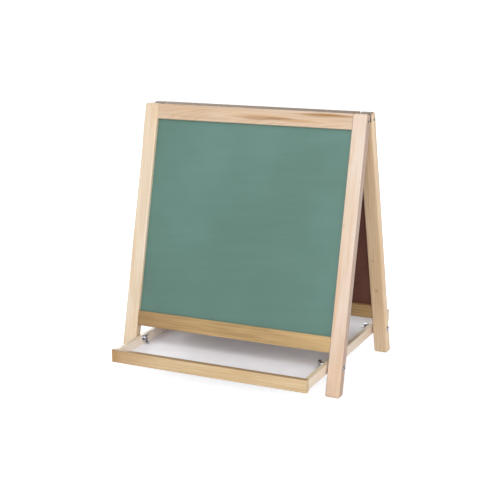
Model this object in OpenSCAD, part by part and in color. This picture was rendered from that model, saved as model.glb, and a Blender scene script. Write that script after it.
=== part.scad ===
// Table-top A-frame board easel with a shared chalk tray, in millimetres.
// Two framed leaves hang from one hinge line and stand on feet cut flat to the floor.
// X runs across the boards, -Y is the chalkboard side, +Z is up.
// The origin lies on the floor, midway between the leaves.

/* [Frame] */
// Width over both stiles
frame_w = 470; // [400:1:600]
// Height of the hinge line above the floor
hinge_z = 509; // [440:1:620]
// Lean of each leaf from upright, in degrees
leaf_tilt = 14.2; // [11:0.1:17]
// Width of a stile, seen from the front
stile_w = 29; // [26:0.5:38]
// Thickness of a stile
stile_t = 19; // [17:0.5:24]
// Rounding along the long edges of a stile
stile_ease = 3; // [1:0.25:4]
// Rounding at the ends of a stile
end_round = 6; // [2:0.25:8]

/* [Rails] */
// Thickness of the rails
rail_t = 16; // [13:0.5:17]
// Height of the top rail
top_rail_h = 30; // [24:0.5:40]
// Height of the bottom rail
bottom_rail_h = 29.6; // [24:0.1:40]
// Step down from the stile ends to the top rail
rail_drop = 0.8; // [0.2:0.1:3]
// Rounding along the edges of the rails
rail_ease = 1.5; // [0.5:0.25:3]
// Gap between a bottom rail and the tray as a leaf swings past it
swing_gap = 1.8; // [0.4:0.1:6]

/* [Boards] */
// Thickness of the enamelled steel writing face
face_t = 0.6; // [0.4:0.1:1]
// Thickness of the hardboard behind the face
backer_t = 3; // [2:0.1:4]
// Depth of the grooves that hold the board
groove_d = 8; // [5:0.5:9]
// Play of the board in its grooves, on each side
board_play = 0.1; // [0.05:0.05:0.2]
// Gap between the edge of the board and the floor of a groove
edge_gap = 0.5; // [0.2:0.1:1]

/* [Tray] */
// Depth of the tray, front to back
tray_depth = 468.5; // [400:0.5:560]
// Height of the tray's side rails above the floor
tray_z = 39.6; // [30:0.2:60]
// Thickness of the tray's side rails
side_t = 9.5; // [8:0.5:14]
// Wood left in a side rail above the bolt hole
side_over = 2.5; // [2:0.1:6]
// Thickness of the tray's front and rear rails
end_t = 12; // [10:0.5:16]
// Reach of the front and rear rails below the side rails
lip_down = 2.6; // [1:0.1:5]
// Reach of the front and rear rails above the side rails
lip_up = 2.4; // [1:0.1:5]
// Rounding along the edges of the front and rear rails
lip_ease = 2.5; // [1:0.25:4]
// Rounding along the edges of the side rails
side_ease = 1.5; // [0.5:0.25:3]
// Thickness of the tray floor
floor_t = 3; // [2:0.1:4]
// Depth of the grooves and rebates that hold the tray floor
floor_in = 5; // [3:0.5:6]
// Gap between the tray and a stile, filled by a hex nut
tray_gap = 2.75; // [2.2:0.05:5]

/* [Bolts] */
// Diameter of the carriage bolts
bolt_d = 4.8; // [4:0.1:5]
// Diameter of a bolt's domed head
head_d = 12; // [9:0.25:14]
// Height of a bolt's domed head
head_h = 2.6; // [1.5:0.1:4]
// Width of the square neck under the head
neck_w = 5.05; // [5.05:0.05:5.6]
// Length of the square neck
neck_l = 2.8; // [2:0.1:6]
// Length of thread that shows past the hub of a wing nut
bolt_tail = 2.4; // [0.5:0.1:5]
// Width of a hex nut across its flats
hex_w = 9.5; // [8:0.1:11]
// Diameter of the washers
washer_d = 12.7; // [10:0.1:14]
// Thickness of the washers
washer_t = 1.2; // [0.8:0.1:2]

/* [Wing nuts] */
// Spread over both wings
wing_spread = 23; // [19:0.25:30]
// Height of the wings
wing_h = 11.9; // [10:0.1:15]
// Thickness of the wings
wing_t = 2; // [1.4:0.1:3]
// Radius of the round wing tips
wing_tip = 2.8; // [2:0.1:3.2]
// Diameter of the hub at its seat
hub_d = 9.6; // [8.5:0.1:11]
// Height of the hub
hub_h = 6; // [4:0.1:8]
// Gap between the wings and the tray floor as a nut turns
wing_gap = 0.8; // [0.5:0.1:5]

/* [Hinges] */
// Bare wood at each end of a hinge
hinge_margin = 2; // [1:0.25:4]
// Length of a hinge plate down the stile
plate_l = 14; // [12:0.5:24]
// Thickness of the hinge plates
plate_t = 1.2; // [0.8:0.1:1.5]
// Outer radius of the knuckles
knuckle_r = 2.3; // [2:0.1:3]
// Radius of the hinge pin
pin_r = 1.1; // [0.8:0.1:1.3]
// Gap between neighbouring knuckles
knuckle_gap = 0.3; // [0.2:0.05:0.6]

/* [Screws, dowels and brads] */
// Distance of the rail screws below the hinge screws
rail_screw_under = 5; // [4:0.5:8]
// Length of a rail screw
rail_screw_l = 50; // [42:1:65]
// Shank diameter of a rail screw
rail_screw_d = 3.5; // [3:0.1:4.5]
// Head diameter of a rail screw
rail_head_d = 6.6; // [5.5:0.1:8]
// Length of a hinge screw
hinge_screw_l = 12; // [8:0.5:14]
// Shank diameter of a hinge screw
hinge_screw_d = 2.6; // [2:0.1:3]
// Head diameter of a hinge screw
hinge_head_d = 5; // [4.2:0.1:6]
// Length of the dowels in the bottom rails
dowel_l = 30; // [20:1:36]
// Diameter of the dowels
dowel_d = 6; // [4:0.5:7]
// Length of a corner brad
corner_brad_l = 30; // [22:1:40]
// Length of a floor brad
floor_brad_l = 14; // [8:0.5:15]
// Diameter of the brads
brad_d = 1.2; // [0.9:0.1:1.6]
// Brads along each side of the tray floor
floor_brads = 5; // [3:1:7]

/* [Hidden] */
$fn = 48;

// Small clearances shared by the fits
run_fit = 0.05;
hole_fit = 0.1;
side_gap = 0.3;
// Overlap that keeps a cut clean
cut = 1;

// Colours, as the photographed easel shows them
pine = [0.91, 0.84, 0.74];
tan_wood = [0.78, 0.66, 0.48];
chalk_green = [0.41, 0.55, 0.49];
marker_white = [0.93, 0.94, 0.95];
hardboard = [0.38, 0.23, 0.18];
floor_white = [0.88, 0.88, 0.9];
zinc = [0.72, 0.73, 0.74];

// Leaf frame: the hinge line is the X axis and the leaf hangs down -Z, its outside towards -Y
inner_y = knuckle_r + side_gap;
outer_y = inner_y + stile_t;
mid_y = inner_y + stile_t / 2;
stile_x = frame_w / 2 - stile_w / 2;
opening_w = frame_w - 2 * stile_w;

// Tray levels, worked up from the floor of the tray to clear the turning wing nuts
wing_r = wing_spread / 2;
floor_top = tray_z + floor_t;
bolt_z = floor_top + wing_gap + wing_r;
bolt_hole_r = bolt_d / 2 + hole_fit;
side_top = bolt_z + bolt_hole_r + side_over;
side_h = side_top - tray_z;
tray_w = opening_w - 2 * tray_gap;
side_x = tray_w / 2 - side_t;
end_h = side_h + lip_down + lip_up;
floor_w = 2 * (side_x + floor_in - edge_gap);
floor_d = tray_depth - 2 * (end_t - floor_in + edge_gap);

// Distance of the bolts down a leaf and out from the hinge line
bolt_s = (hinge_z - bolt_z + mid_y * sin(leaf_tilt)) / cos(leaf_tilt);
bolt_y = bolt_s * sin(leaf_tilt) + mid_y * cos(leaf_tilt);

// The bottom rail ends where its outer corner just clears the tray in the swing
rail_out = mid_y + rail_t / 2;
bottom_s = sqrt(pow(hinge_z - side_top - swing_gap, 2) - pow(rail_out, 2));
board_top = rail_drop + top_rail_h;
board_bottom = bottom_s - bottom_rail_h;

// Feet: where the floor cuts the inner and outer faces of a leaf
foot_in = (hinge_z + inner_y * sin(leaf_tilt)) / cos(leaf_tilt);
foot_out = (hinge_z + outer_y * sin(leaf_tilt)) / cos(leaf_tilt);

// Boards
board_t = face_t + backer_t;
groove_w = board_t + 2 * board_play;
board_in = groove_d - edge_gap;
board_w = opening_w + 2 * board_in;
board_h = board_bottom - board_top + 2 * board_in;
board_s = board_top - board_in;
backer_y = mid_y - board_t / 2;

// Hardware stack from the outside of a stile inwards
hex_t = tray_gap - side_gap - run_fit;
nut_seat = side_x - washer_t - run_fit;
shank_end = nut_seat - hub_h - bolt_tail;
slot_h = neck_w + 2 * side_gap;
bolt_chamfer = 0.6;

// Underside of a bolt head: seated on a front stile, just clear of a rear one, which swings
function head_seat(end) = frame_w / 2 + (end > 0 ? side_gap : 0);

// Hinges
hinge_w = stile_w - 2 * hinge_margin;
knuckle_l = (hinge_w - 2 * knuckle_gap) / 3;
hinge_screw_x = hinge_w / 4;
hinge_screw_z = (plate_l + knuckle_r) / 2;
hinge_head_h = plate_t;

// Rail screws and dowels; the dowels share the wood below the groove of the bottom rail
rail_screw_s = hinge_screw_z + rail_screw_under;
rail_head_h = (rail_head_d - rail_screw_d) / 2;
dowel_pitch = (bottom_rail_h - groove_d) / 2;
dowel_chamfer = 0.8;

// Brads
brad_head_d = brad_d + 0.8;
brad_head_h = 0.6;
corner_brad_pitch = side_h / 2;

// Tangent points and centre of a rounded corner at b, between the neighbours a and c
function unit(v) = v / norm(v);
function corner_half(a, b, c) = acos(unit(a - b) * unit(c - b)) / 2;
function corner_cut(a, b, c, r) =
    let(run = r / tan(corner_half(a, b, c)))
    [b + unit(a - b) * run, b + unit(c - b) * run];
function corner_centre(a, b, c, r) =
    b + unit(unit(a - b) + unit(c - b)) * r / sin(corner_half(a, b, c));

// Convex outline with every corner rounded to a true arc
module rounded_outline(points, r) {
    n = len(points);
    flats = [for (i = [0:n - 1])
        each corner_cut(points[(i + n - 1) % n], points[i], points[(i + 1) % n], r)];
    polygon(flats);
    for (i = [0:n - 1])
        translate(corner_centre(points[(i + n - 1) % n], points[i], points[(i + 1) % n], r))
            circle(r);
}

// Rectangle from a corner, rounded
module rounded_rect(x0, y0, x1, y1, r) {
    rounded_outline([[x0, y0], [x1, y0], [x1, y1], [x0, y1]], r);
}

// Outline drawn in the Y-Z plane and run along X, centred on X
module along_x(length) {
    rotate([90, 0, 90]) linear_extrude(length, center = true) children();
}

// Leaves at their standing lean
module front_leaf() {
    translate([0, 0, hinge_z]) rotate([-leaf_tilt, 0, 0]) children();
}

module rear_leaf() {
    rotate([0, 0, 180]) front_leaf() children();
}

// Countersunk screw along -Z, its head flush with z = 0
module screw_body(length, shank_d, screw_head_d, head_depth, grow) {
    tip_l = shank_d;
    translate([0, 0, -head_depth]) cylinder(head_depth, shank_d / 2 + grow, screw_head_d / 2 + grow);
    translate([0, 0, -length + tip_l]) cylinder(length - tip_l - head_depth / 2, r = shank_d / 2 + grow);
    translate([0, 0, -length]) cylinder(tip_l, 0.2 + grow, shank_d / 2 + grow);
}

// Hole for such a screw, cut clear of the surface that its head is flush with
module screw_hole(length, shank_d, screw_head_d, head_depth) {
    screw_body(length, shank_d, screw_head_d, head_depth, run_fit);
    cylinder(cut, r = screw_head_d / 2 + run_fit);
}

// Cross recess that a driver fits
module cross_recess(width, depth) {
    blade = width / 5;
    for (turn = [0, 90])
        rotate([0, 0, turn]) translate([0, 0, -depth / 2 + 0.5])
            cube([width, blade, depth + 1], center = true);
}

module screw(length, shank_d, screw_head_d, head_depth) {
    difference() {
        screw_body(length, shank_d, screw_head_d, head_depth, 0);
        cross_recess(screw_head_d * 0.5, head_depth * 0.6);
    }
}

// Place for the screw that holds the top rail to a stile, pointing inwards
module at_rail_screws(side) {
    translate([side * frame_w / 2, -mid_y, -rail_screw_s]) rotate([0, side * 90, 0]) children();
}

module rail_screw_holes(side) {
    at_rail_screws(side)
        screw_hole(rail_screw_l, rail_screw_d, rail_head_d, rail_head_h);
}

module rail_screws() {
    for (side = [-1, 1])
        at_rail_screws(side)
            screw(rail_screw_l, rail_screw_d, rail_head_d, rail_head_h);
}

// Places for the two dowels at one end of a bottom rail, across the joint
module at_dowels(side) {
    for (level = [0.5, 1.5])
        translate([side * opening_w / 2, -mid_y, -bottom_s + level * dowel_pitch])
            rotate([0, 90, 0]) children();
}

// Dowel with both ends chamfered
module dowel() {
    r = dowel_d / 2;
    end = dowel_l / 2;
    rotate_extrude()
        polygon([[0, -end], [r - dowel_chamfer, -end], [r, dowel_chamfer - end],
                 [r, end - dowel_chamfer], [r - dowel_chamfer, end], [0, end]]);
}

module dowels() {
    for (side = [-1, 1]) at_dowels(side) dowel();
}

module dowel_holes(side) {
    at_dowels(side) cylinder(dowel_l + 2 * edge_gap, r = dowel_d / 2 + run_fit, center = true);
}

// Places for the screws of one hinge plate, pointing into the stile
module at_hinge_screws(side) {
    for (dx = [-hinge_screw_x, hinge_screw_x])
        translate([side * stile_x + dx, -inner_y + plate_t, -hinge_screw_z])
            rotate([-90, 0, 0]) children();
}

module hinge_screws() {
    for (side = [-1, 1])
        at_hinge_screws(side)
            screw(hinge_screw_l, hinge_screw_d, hinge_head_d, hinge_head_h);
}

module hinge_screw_holes(side) {
    at_hinge_screws(side)
        screw_hole(hinge_screw_l, hinge_screw_d, hinge_head_d, hinge_head_h);
}

// Stile without its cuts, with eased edges, a square top end and a foot cut to the floor
module stile_blank(side) {
    intersection() {
        front_leaf() intersection() {
            translate([side * stile_x, -mid_y, -foot_out - cut])
                linear_extrude(foot_out + 2 * cut)
                    rounded_rect(-stile_w / 2, -stile_t / 2, stile_w / 2, stile_t / 2, stile_ease);
            translate([side * stile_x, 0, 0]) along_x(stile_w + 2 * cut)
                rounded_outline([[-inner_y, 0], [-outer_y, 0],
                                 [-outer_y, -foot_out], [-inner_y, -foot_in]], end_round);
            translate([side * stile_x, 0, 0]) rotate([90, 0, 0]) linear_extrude(outer_y + cut)
                rounded_rect(-stile_w / 2, -foot_out - 3 * end_round, stile_w / 2, 0, end_round);
        }
        translate([side * stile_x, hinge_z, 0]) rotate([90, 0, 0]) linear_extrude(2 * hinge_z)
            rounded_rect(-stile_w / 2, 0, stile_w / 2, hinge_z + outer_y, end_round);
    }
}

// Stopped groove in the inner edge of a stile, where the board sits
module stile_groove(side) {
    translate([side * (opening_w / 2 + groove_d / 2 - cut / 2), -mid_y,
               -board_s - board_h / 2])
        cube([groove_d + cut, groove_w, board_h + 2 * edge_gap], center = true);
}

module stile(side) {
    difference() {
        stile_blank(side);
        front_leaf() {
            stile_groove(side);
            rail_screw_holes(side);
            dowel_holes(side);
            hinge_screw_holes(side);
        }
    }
}

// Round hole and square socket for a carriage bolt in a front stile
module bolt_socket(side) {
    translate([side * stile_x, -mid_y, -bolt_s]) rotate([0, 90, 0])
        cylinder(stile_w + 2 * cut, r = bolt_hole_r, center = true);
    translate([side * (frame_w / 2 - neck_l / 2), -mid_y, -bolt_s])
        cube([neck_l + 2 * run_fit, neck_w + 2 * run_fit, neck_w + 2 * run_fit], center = true);
}

// Slot that lets a rear stile swing off its bolt, open to the outside of the leaf.
// Its end is round about the shank and square about the neck.
module bolt_slot(side) {
    translate([side * stile_x, -mid_y, -bolt_s]) rotate([0, 90, 0])
        cylinder(stile_w + 2 * cut, r = slot_h / 2, center = true);
    translate([side * stile_x, -mid_y - stile_t / 2, -bolt_s])
        cube([stile_w + 2 * cut, stile_t, slot_h], center = true);
    translate([side * (frame_w / 2 - neck_l / 2), -mid_y, -bolt_s])
        cube([neck_l + 2 * side_gap, slot_h, slot_h], center = true);
}

module front_stile(side) {
    color(pine) difference() {
        stile(side);
        front_leaf() bolt_socket(side);
    }
}

// The rear leaf is turned about Z, so its own side is the opposite one
module rear_stile(side) {
    color(pine) rotate([0, 0, 180]) difference() {
        stile(-side);
        front_leaf() bolt_slot(-side);
    }
}

// Rail between the stiles, its top edge s below the hinge line
module rail(s, height) {
    translate([0, -mid_y, -s - height]) along_x(opening_w)
        rounded_rect(-rail_t / 2, 0, rail_t / 2, height, rail_ease);
}

// Groove along a rail, on the side of its board
module rail_groove(s) {
    translate([0, -mid_y, -s]) cube([opening_w + 2 * cut, groove_w, 2 * groove_d], center = true);
}

module top_rail() {
    color(tan_wood) difference() {
        rail(rail_drop, top_rail_h);
        rail_groove(board_top);
        for (side = [-1, 1]) rail_screw_holes(side);
    }
}

module bottom_rail() {
    color(tan_wood) difference() {
        rail(board_bottom, bottom_rail_h);
        rail_groove(board_bottom);
        for (side = [-1, 1]) dowel_holes(side);
    }
}

// Hardboard towards the inside of the leaf
module backer() {
    translate([-board_w / 2, -backer_y - backer_t, -board_s - board_h])
        cube([board_w, backer_t, board_h]);
}

// Steel writing face bonded to the hardboard
module writing_face() {
    translate([-board_w / 2, -backer_y - board_t, -board_s - board_h])
        cube([board_w, face_t, board_h]);
}

// Span of one of the three knuckles, from the left end of a hinge
function knuckle_x(i) = -hinge_w / 2 + i * (knuckle_l + knuckle_gap);

// Hinge plate with the knuckles that it carries rolled at its top edge
module hinge_plate(side, knuckles, notches) {
    color(zinc) translate([side * stile_x, 0, 0]) difference() {
        union() {
            translate([-hinge_w / 2, -inner_y, -plate_l]) cube([hinge_w, plate_t, plate_l]);
            for (i = knuckles)
                translate([knuckle_x(i), 0, 0]) rotate([0, 90, 0]) cylinder(knuckle_l, r = knuckle_r);
        }
        for (i = notches)
            translate([knuckle_x(i) - knuckle_gap, -inner_y - cut, -inner_y - side_gap])
                cube([knuckle_l + 2 * knuckle_gap, plate_t + 2 * cut, inner_y + side_gap + cut]);
        translate([-hinge_w, 0, 0]) rotate([0, 90, 0])
            cylinder(2 * hinge_w, r = pin_r + run_fit);
        translate([-side * stile_x, 0, 0]) hinge_screw_holes(side);
    }
}

module hinge_pin(side) {
    color(zinc) translate([side * stile_x, 0, hinge_z]) rotate([0, 90, 0])
        cylinder(hinge_w, r = pin_r, center = true);
}

// Front or rear rail of the tray, drawn at the front
module tray_end() {
    color(tan_wood) difference() {
        intersection() {
            translate([0, -tray_depth / 2, tray_z - lip_down]) along_x(tray_w)
                rounded_rect(0, 0, end_t, end_h, lip_ease);
            translate([0, -tray_depth / 2, tray_z - lip_down - cut]) linear_extrude(end_h + 2 * cut)
                rounded_rect(-tray_w / 2, 0, tray_w / 2, end_t + 2 * lip_ease, lip_ease);
        }
        translate([-floor_w / 2 - edge_gap, -tray_depth / 2 + end_t - floor_in, tray_z - board_play])
            cube([floor_w + 2 * edge_gap, floor_in + cut, floor_t + 2 * board_play]);
        at_corner_brads() brad_hole(corner_brad_l);
    }
}

// Side rail of the tray, with a rebate for the floor
module tray_side(side) {
    color(pine) difference() {
        translate([side * (tray_w - side_t) / 2, 0, tray_z + side_h / 2]) rotate([90, 0, 0])
            linear_extrude(tray_depth - 2 * end_t, center = true)
                rounded_rect(-side_t / 2, -side_h / 2, side_t / 2, side_h / 2, side_ease);
        translate([side * side_x, 0, tray_z + floor_t / 2])
            cube([2 * floor_in, tray_depth, floor_t + 2 * board_play], center = true);
        for (end = [-1, 1])
            translate([side * side_x, end * bolt_y, bolt_z]) rotate([0, 90, 0])
                cylinder(4 * side_t, r = bolt_hole_r, center = true);
        for (turn = [0, 180]) rotate([0, 0, turn]) at_corner_brads() brad_hole(corner_brad_l);
        at_floor_brads() brad_hole(floor_brad_l);
    }
}

module tray_floor_sheet() {
    color(floor_white) difference() {
        translate([-floor_w / 2, -floor_d / 2, tray_z]) cube([floor_w, floor_d, floor_t]);
        at_floor_brads() brad_hole(floor_brad_l);
    }
}

// Headed brad along -Z, its head flush with z = 0
module brad(length, grow) {
    translate([0, 0, -brad_head_h - grow]) cylinder(brad_head_h + grow, r = brad_head_d / 2 + grow);
    translate([0, 0, -length - grow]) cylinder(length, r = brad_d / 2 + grow);
}

// Hole for such a brad, cut clear of the surface that its head is flush with
module brad_hole(length) {
    brad(length, run_fit);
    cylinder(cut, r = brad_head_d / 2 + run_fit);
}

// Two brads to a corner, driven through the front rail into the side rails
module at_corner_brads() {
    for (side = [-1, 1], level = [-0.5, 0.5])
        translate([side * (tray_w - side_t) / 2, -tray_depth / 2,
                   tray_z + floor_t + (side_h - floor_t) / 2 + level * corner_brad_pitch])
            rotate([90, 0, 0]) children();
}

// Brads driven up through the edge of the floor into the side rails
module at_floor_brads() {
    reach = tray_depth / 2 - 3 * end_t;
    for (side = [-1, 1], i = [0:floor_brads - 1])
        translate([side * (side_x + floor_in / 2 - edge_gap / 2),
                   -reach + 2 * reach * i / (floor_brads - 1), tray_z])
            rotate([180, 0, 0]) children();
}

// Places of the four bolts, each seen from outside its stile, with Z along the bolt outwards
module at_bolt(side, end) {
    translate([0, end * bolt_y, bolt_z]) rotate([0, side * 90, 0]) children();
}

// Carriage bolt with a domed head and a square neck turned to the lean of its leaf
module carriage_bolt(side, end) {
    dome_r = (pow(head_d / 2, 2) + pow(head_h, 2)) / (2 * head_h);
    color(zinc) at_bolt(side, end) {
        translate([0, 0, head_seat(end)]) rotate_extrude() intersection() {
            translate([0, head_h - dome_r]) circle(dome_r, $fn = 96);
            square([head_d / 2, head_h]);
        }
        translate([0, 0, head_seat(end) - neck_l / 2]) rotate([0, 0, side * end * leaf_tilt])
            cube([neck_w, neck_w, neck_l], center = true);
        translate([0, 0, shank_end]) cylinder(bolt_chamfer, bolt_d / 2 - bolt_chamfer, bolt_d / 2);
        translate([0, 0, shank_end + bolt_chamfer])
            cylinder(head_seat(end) - shank_end - bolt_chamfer, r = bolt_d / 2);
    }
}

// Hex nut that locks a bolt and spaces the tray from the stile, its corners turned off
module hex_nut(side, end) {
    flat_r = hex_w / 2 - 0.05;
    color(zinc) at_bolt(side, end) translate([0, 0, tray_w / 2]) difference() {
        intersection() {
            cylinder(hex_t, r = hex_w / sqrt(3), $fn = 6);
            rotate_extrude() polygon([[0, 0], [flat_r, 0], [flat_r + hex_t / 2 / tan(30), hex_t / 2],
                                      [flat_r, hex_t], [0, hex_t]]);
        }
        translate([0, 0, -cut]) cylinder(hex_t + 2 * cut, r = bolt_d / 2 + run_fit);
    }
}

module flat_washer(side, end) {
    color(zinc) at_bolt(side, end) translate([0, 0, side_x - washer_t]) difference() {
        cylinder(washer_t, r = washer_d / 2);
        translate([0, 0, -cut]) cylinder(washer_t + 2 * cut, r = bolt_hole_r);
    }
}

// Point where a line from p touches a circle, on the side given by turn
function touch_point(p, centre, r, turn) =
    let(to = centre - p, d = norm(to), aim = atan2(to[1], to[0]) + turn * asin(r / d))
    p + sqrt(d * d - r * r) * [cos(aim), sin(aim)];

// One wing: a web that leaves the hub and ends in a round tip
module wing_outline() {
    tip = [wing_r - wing_tip, wing_h - wing_tip];
    low = [hub_d / 2 - 0.4, hub_h * 0.15];
    high = [hub_d / 2 - 1.6, hub_h * 0.95];
    translate(tip) circle(wing_tip);
    polygon([low, touch_point(low, tip, wing_tip, -1), tip, touch_point(high, tip, wing_tip, 1),
             high, [bolt_d / 2 + 0.6, hub_h * 0.9], [bolt_d / 2 + 0.6, hub_h * 0.15]]);
}

// Wing nut with its seat at z = 0 and its wings rising along +Z
module wing_nut_body() {
    hub_top = hub_d / 2 - 0.8;
    bore_r = bolt_d / 2 + run_fit;
    difference() {
        union() {
            rotate_extrude()
                polygon([[0, 0], [hub_d / 2 - 0.3, 0], [hub_d / 2, 0.3], [hub_d / 2, hub_h * 0.3],
                         [hub_top, hub_h - 0.5], [hub_top - 0.5, hub_h], [0, hub_h]]);
            for (half = [0, 180])
                rotate([0, 0, half]) rotate([90, 0, 0])
                    linear_extrude(wing_t, center = true) wing_outline();
        }
        translate([0, 0, -cut]) cylinder(hub_h + 2 * cut, r = bore_r);
    }
}

// Each nut stops at its own angle, as hand-tightened nuts do
module wing_nut(side, end, angle) {
    color(zinc) at_bolt(side, end) translate([0, 0, nut_seat]) mirror([0, 0, 1])
        rotate([0, 0, angle]) wing_nut_body();
}

module front_left_stile() { front_stile(-1); }
module front_right_stile() { front_stile(1); }
module front_top_rail() { front_leaf() top_rail(); }
module front_bottom_rail() { front_leaf() bottom_rail(); }
module front_chalk_face() { color(chalk_green) front_leaf() writing_face(); }
module front_backer() { color(hardboard) front_leaf() backer(); }
module front_rail_screws() { color(zinc) front_leaf() rail_screws(); }
module front_rail_dowels() { color(pine) front_leaf() dowels(); }

module rear_left_stile() { rear_stile(-1); }
module rear_right_stile() { rear_stile(1); }
module rear_top_rail() { rear_leaf() top_rail(); }
module rear_bottom_rail() { rear_leaf() bottom_rail(); }
module rear_marker_face() { color(marker_white) rear_leaf() writing_face(); }
module rear_backer() { color(hardboard) rear_leaf() backer(); }
module rear_rail_screws() { color(zinc) rear_leaf() rail_screws(); }
module rear_rail_dowels() { color(pine) rear_leaf() dowels(); }

module left_hinge_front_plate() { front_leaf() hinge_plate(-1, [0, 2], [1]); }
module left_hinge_rear_plate() { rear_leaf() hinge_plate(1, [1], [0, 2]); }
module left_hinge_pin() { hinge_pin(-1); }
module right_hinge_front_plate() { front_leaf() hinge_plate(1, [0, 2], [1]); }
module right_hinge_rear_plate() { rear_leaf() hinge_plate(-1, [1], [0, 2]); }
module right_hinge_pin() { hinge_pin(1); }
module front_hinge_screws() { color(zinc) front_leaf() hinge_screws(); }
module rear_hinge_screws() { color(zinc) rear_leaf() hinge_screws(); }

module tray_front_rail() { tray_end(); }
module tray_rear_rail() { rotate([0, 0, 180]) tray_end(); }
module tray_left_rail() { tray_side(-1); }
module tray_right_rail() { tray_side(1); }
module tray_floor() { tray_floor_sheet(); }
module tray_corner_brads() {
    color(zinc) for (turn = [0, 180]) rotate([0, 0, turn]) at_corner_brads() brad(corner_brad_l, 0);
}
module tray_floor_brads() { color(zinc) at_floor_brads() brad(floor_brad_l, 0); }

module front_left_bolt() { carriage_bolt(-1, -1); }
module front_right_bolt() { carriage_bolt(1, -1); }
module rear_left_bolt() { carriage_bolt(-1, 1); }
module rear_right_bolt() { carriage_bolt(1, 1); }
module front_left_hex_nut() { hex_nut(-1, -1); }
module front_right_hex_nut() { hex_nut(1, -1); }
module rear_left_hex_nut() { hex_nut(-1, 1); }
module rear_right_hex_nut() { hex_nut(1, 1); }
module front_left_washer() { flat_washer(-1, -1); }
module front_right_washer() { flat_washer(1, -1); }
module rear_left_washer() { flat_washer(-1, 1); }
module rear_right_washer() { flat_washer(1, 1); }
module front_left_wing_nut() { wing_nut(-1, -1, 3); }
module front_right_wing_nut() { wing_nut(1, -1, 120); }
module rear_left_wing_nut() { wing_nut(-1, 1, 115); }
module rear_right_wing_nut() { wing_nut(1, 1, 98); }

front_left_stile();
front_right_stile();
front_top_rail();
front_bottom_rail();
front_chalk_face();
front_backer();
front_rail_screws();
front_rail_dowels();
rear_left_stile();
rear_right_stile();
rear_top_rail();
rear_bottom_rail();
rear_marker_face();
rear_backer();
rear_rail_screws();
rear_rail_dowels();
left_hinge_front_plate();
left_hinge_rear_plate();
left_hinge_pin();
right_hinge_front_plate();
right_hinge_rear_plate();
right_hinge_pin();
front_hinge_screws();
rear_hinge_screws();
tray_front_rail();
tray_rear_rail();
tray_left_rail();
tray_right_rail();
tray_floor();
tray_corner_brads();
tray_floor_brads();
front_left_bolt();
front_right_bolt();
rear_left_bolt();
rear_right_bolt();
front_left_hex_nut();
front_right_hex_nut();
rear_left_hex_nut();
rear_right_hex_nut();
front_left_washer();
front_right_washer();
rear_left_washer();
rear_right_washer();
front_left_wing_nut();
front_right_wing_nut();
rear_left_wing_nut();
rear_right_wing_nut();
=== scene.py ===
import math

import bmesh
import bpy
from mathutils import Euler, Matrix, Vector


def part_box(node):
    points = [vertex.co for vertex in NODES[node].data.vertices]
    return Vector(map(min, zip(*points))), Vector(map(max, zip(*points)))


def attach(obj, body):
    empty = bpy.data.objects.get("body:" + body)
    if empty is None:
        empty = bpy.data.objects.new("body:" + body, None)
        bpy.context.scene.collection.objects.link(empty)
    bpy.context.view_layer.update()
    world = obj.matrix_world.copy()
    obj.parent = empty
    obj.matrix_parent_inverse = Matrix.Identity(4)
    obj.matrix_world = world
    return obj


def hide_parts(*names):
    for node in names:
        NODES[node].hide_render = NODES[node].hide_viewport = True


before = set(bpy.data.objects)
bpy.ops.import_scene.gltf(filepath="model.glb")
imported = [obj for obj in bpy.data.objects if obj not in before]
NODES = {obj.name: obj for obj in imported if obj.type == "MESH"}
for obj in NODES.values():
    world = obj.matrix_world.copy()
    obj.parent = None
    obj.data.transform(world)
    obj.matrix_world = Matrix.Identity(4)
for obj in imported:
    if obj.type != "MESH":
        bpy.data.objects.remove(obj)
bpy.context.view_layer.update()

MM = 0.001

# Lean of both leaves from upright, as in the source
LEAN = math.radians(14.2)


def place_in_scene(name, data):
    """Puts a mesh, lamp or camera into the scene as an object."""
    made = bpy.data.objects.new(name, data)
    bpy.context.scene.collection.objects.link(made)
    return made


# Camera, at the photographed angle

CAMERA_PLACE = Vector((0.920864, -1.997530, 0.788555))
CAMERA_RIGHT = Vector((0.90603414, 0.42316136, -0.00605085))
CAMERA_UP = Vector((-0.09933295, 0.22653737, 0.96892403))
CAMERA_LENS = 81.676
SENSOR_WIDTH = 36
FARTHEST_SEEN = 20


def set_camera():
    """A long lens, a little above the tray, looking down at the chalkboard."""
    data = bpy.data.cameras.new("camera")
    data.lens = CAMERA_LENS
    data.sensor_width = SENSOR_WIDTH
    data.clip_end = FARTHEST_SEEN
    camera = place_in_scene("camera", data)
    back = CAMERA_RIGHT.cross(CAMERA_UP)
    turn = Matrix((CAMERA_RIGHT, CAMERA_UP, back)).transposed()
    camera.matrix_world = Matrix.Translation(CAMERA_PLACE) @ turn.to_4x4()
    bpy.context.scene.camera = camera


# Short ways to build node trees

def tone(red, green, blue):
    """A colour given as it looks on a screen, 0 to 255."""
    levels = [v / 255 for v in (red, green, blue)]
    linear = [v / 12.92 if v <= 0.04045 else ((v + 0.055) / 1.055) ** 2.4 for v in levels]
    return (*linear, 1.0)


def add(tree, kind, inputs=None, **settings):
    """Adds a node, sets its settings, and joins or sets its inputs."""
    made = tree.nodes.new("ShaderNode" + kind)
    for key, value in settings.items():
        setattr(made, key, value)
    for key, value in (inputs or {}).items():
        if isinstance(value, bpy.types.NodeSocket):
            tree.links.new(value, made.inputs[key])
        else:
            made.inputs[key].default_value = value
    return made


def math_node(tree, operation, first, second=0.0):
    return add(tree, "Math", {0: first, 1: second}, operation=operation).outputs[0]


def plus(tree, first, second):
    return math_node(tree, "ADD", first, second)


def minus(tree, first, second):
    return math_node(tree, "SUBTRACT", first, second)


def times(tree, first, second):
    return math_node(tree, "MULTIPLY", first, second)


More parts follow.
